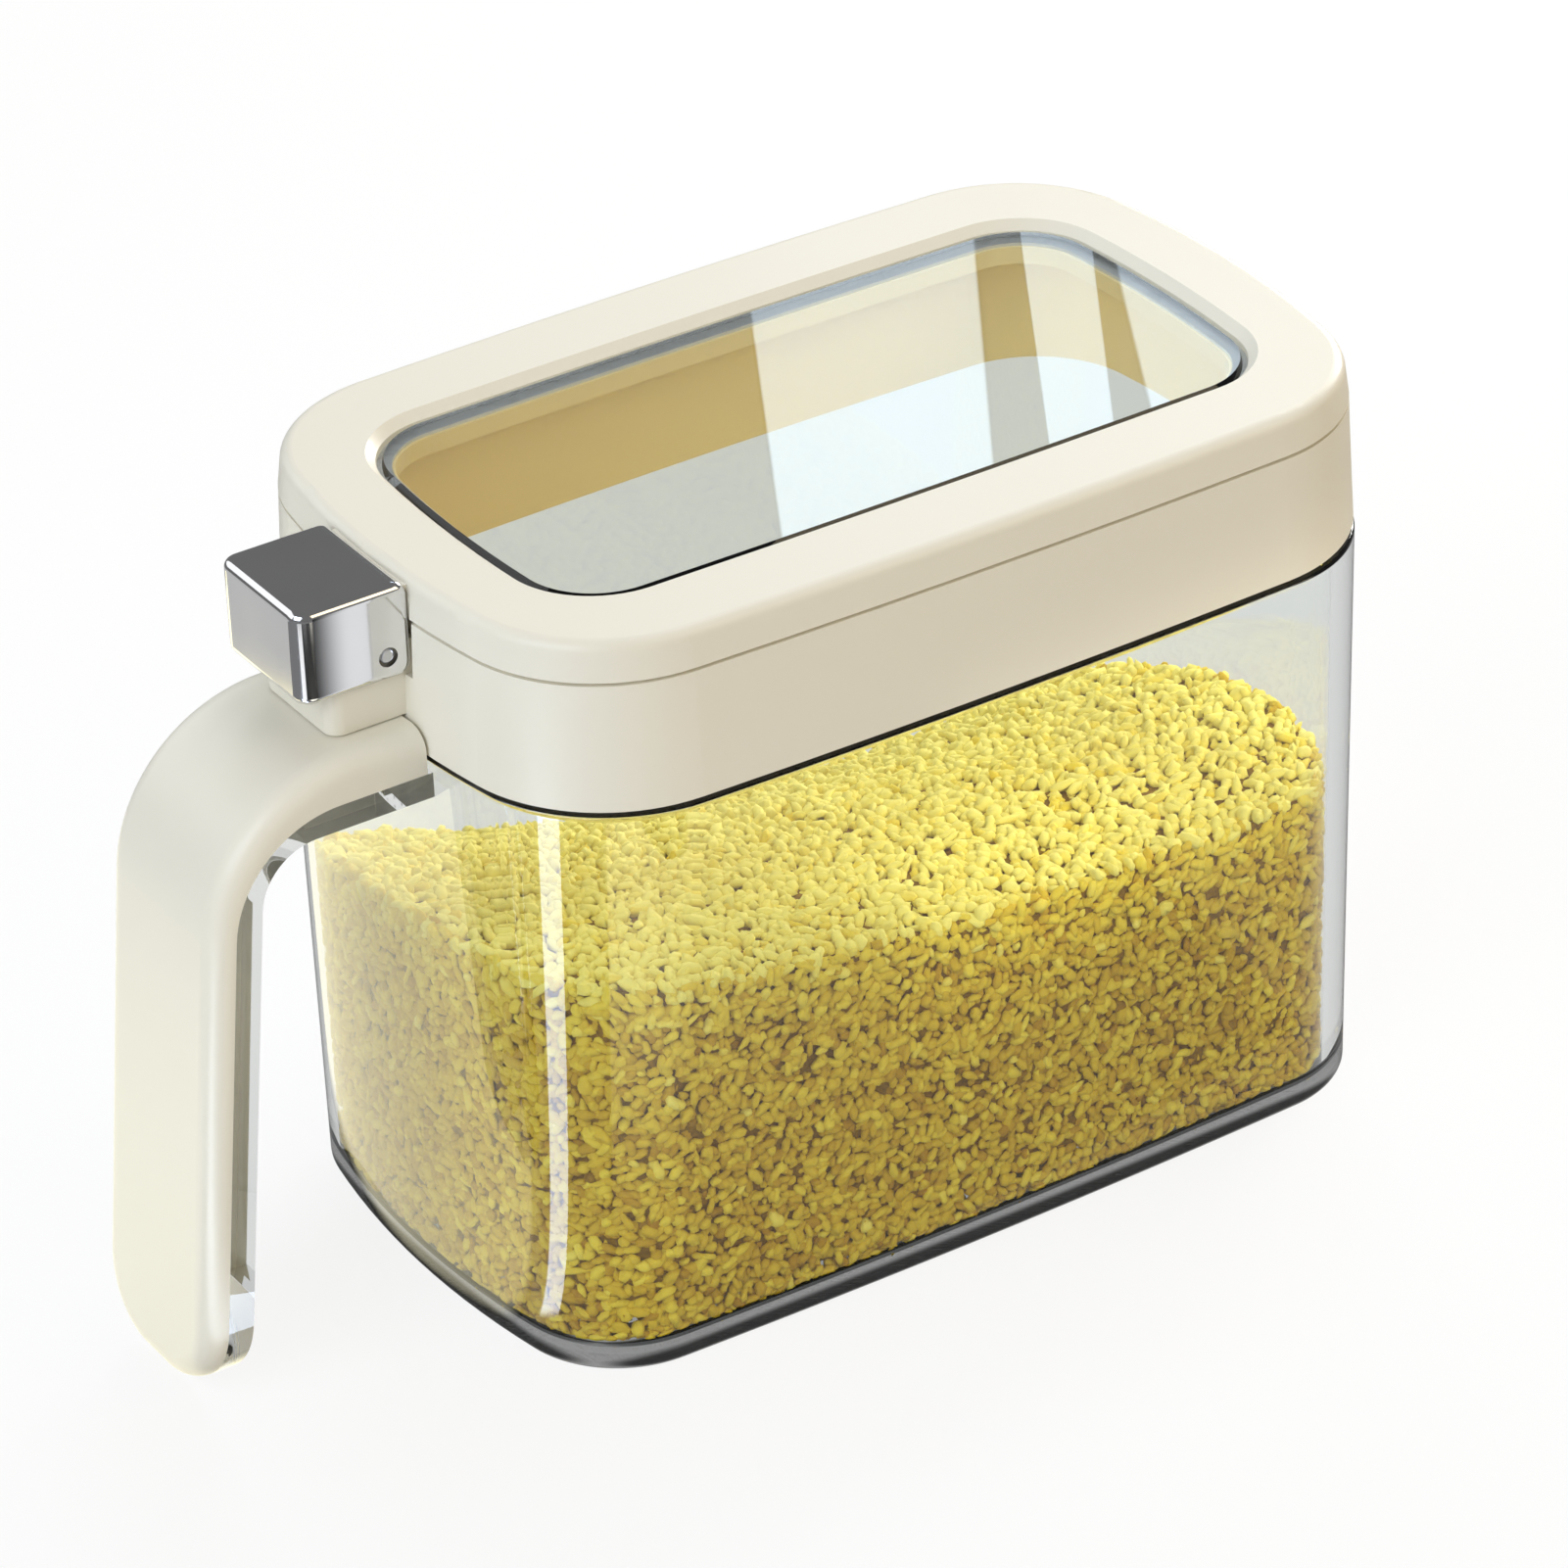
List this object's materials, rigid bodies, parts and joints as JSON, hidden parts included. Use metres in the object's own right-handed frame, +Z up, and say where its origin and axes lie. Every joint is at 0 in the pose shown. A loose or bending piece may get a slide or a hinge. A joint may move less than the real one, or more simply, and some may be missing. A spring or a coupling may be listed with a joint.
{
  "type": "spice jar",
  "caption": "Clear rectangular spice jar with a cream collar, a hinged windowed lid worked by a chrome thumb block, and a strap handle",
  "frame": {"origin": "middle of the jar's base, on the surface it stands on", "axes": "+Z up, +X along the jar away from the handle, +Y to the back"},
  "size_m": [0.1682, 0.0824, 0.105],
  "materials": {
    "clear_jar": "clear moulded plastic",
    "clear_pane": "clear polished pane",
    "cream_shell": "smooth cream",
    "tan_shell": "smooth tan",
    "granules": "dry yellow granules",
    "silicone": "soft translucent grey",
    "steel": "drawn wire and rod",
    "chrome": "bright plated"
  },
  "bodies": {
    "jar": {"jar_body": "clear_jar", "fill": "granules", "handle_core": "clear_jar", "handle_cover": "cream_shell"},
    "collar_ring": {"collar": "cream_shell", "jar_seal": "silicone", "hinge_pin": "steel", "lid_spring": "steel"},
    "lid": {"lid_frame": "cream_shell", "lid_window": "clear_pane", "window_gasket": "silicone", "lid_liner": "tan_shell", "lid_seal": "silicone", "lever_cap": "chrome"}
  },
  "joints": [
    {"name": "collar_lift", "type": "slide", "parent": "jar", "child": "collar_ring", "axis": [0, 0, 1], "range_m": [0, 0.03]},
    {"name": "lid_hinge", "type": "hinge", "parent": "collar_ring", "child": "lid", "pos_m": [-0.0676, 0, 0.0957], "axis": [0, -1, 0], "range_deg": [0, 28], "stiffness_Nm_per_rad": 0.02, "springref_deg": -20.05, "deforming": ["lid_spring"]}
  ]
}
